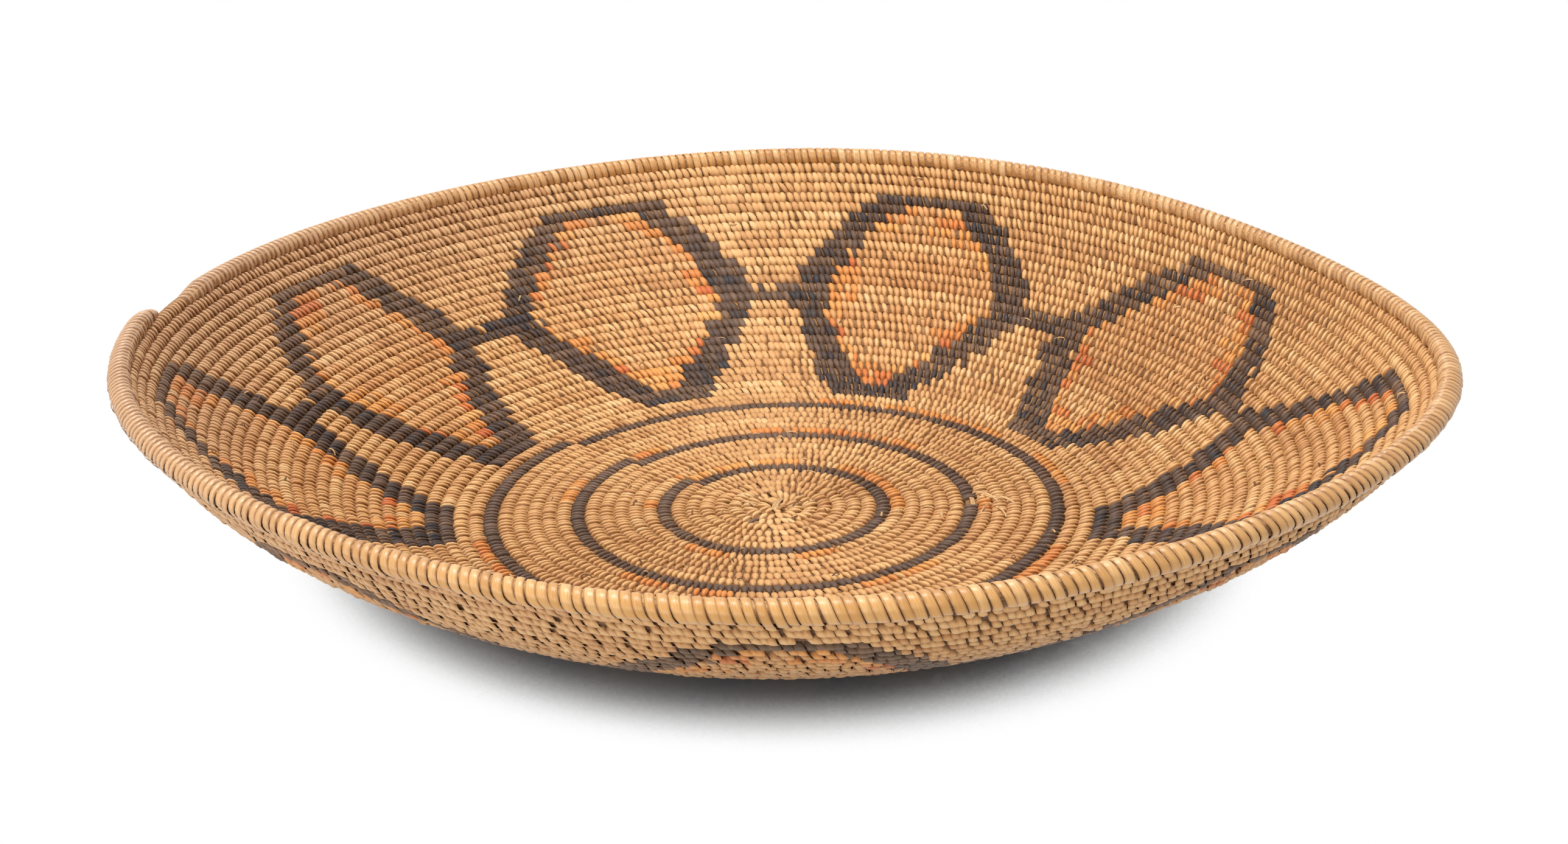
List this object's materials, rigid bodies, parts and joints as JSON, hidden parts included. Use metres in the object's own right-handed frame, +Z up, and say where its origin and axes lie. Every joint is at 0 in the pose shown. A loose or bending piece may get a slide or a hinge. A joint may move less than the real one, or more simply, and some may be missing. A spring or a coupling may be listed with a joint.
{
  "type": "coiled basketry tray",
  "caption": "Wide shallow coiled basket tray with a flat floor, a flaring wall patterned with petals and rings, and a thicker wrapped rim.",
  "frame": {"origin": "middle of the tray's outline, on the surface that its floor rests on", "axes": "+Z up, out of the hollow; -Y towards the side nearest the viewer"},
  "size_m": [0.4427, 0.4572, 0.0801],
  "materials": {
    "natural_splints": "dry golden-brown grass splints, satin",
    "dark_splints": "dark-dyed grass splints, satin",
    "orange_splints": "orange-dyed grass splints, satin",
    "petal_splints": "dark outline, orange lining and natural heart, satin splints",
    "rim_splints": "wide flat golden splints, glossy"
  },
  "bodies": {
    "root": {"start_knot": "natural_splints", "centre_coils": "natural_splints", "inner_dark_ring": "dark_splints", "inner_orange_ring": "orange_splints", "second_coils": "natural_splints", "middle_dark_ring": "dark_splints", "middle_orange_ring": "orange_splints", "third_coils": "natural_splints", "outer_dark_ring": "dark_splints", "outer_orange_ring": "orange_splints", "lower_wall_coils": "natural_splints", "petal_1": "petal_splints", "petal_2": "petal_splints", "petal_3": "petal_splints", "petal_4": "petal_splints", "petal_5": "petal_splints", "petal_6": "petal_splints", "petal_7": "petal_splints", "petal_8": "petal_splints", "petal_9": "petal_splints", "upper_wall_coils": "natural_splints", "rim_coil": "rim_splints"}
  },
  "joints": []
}
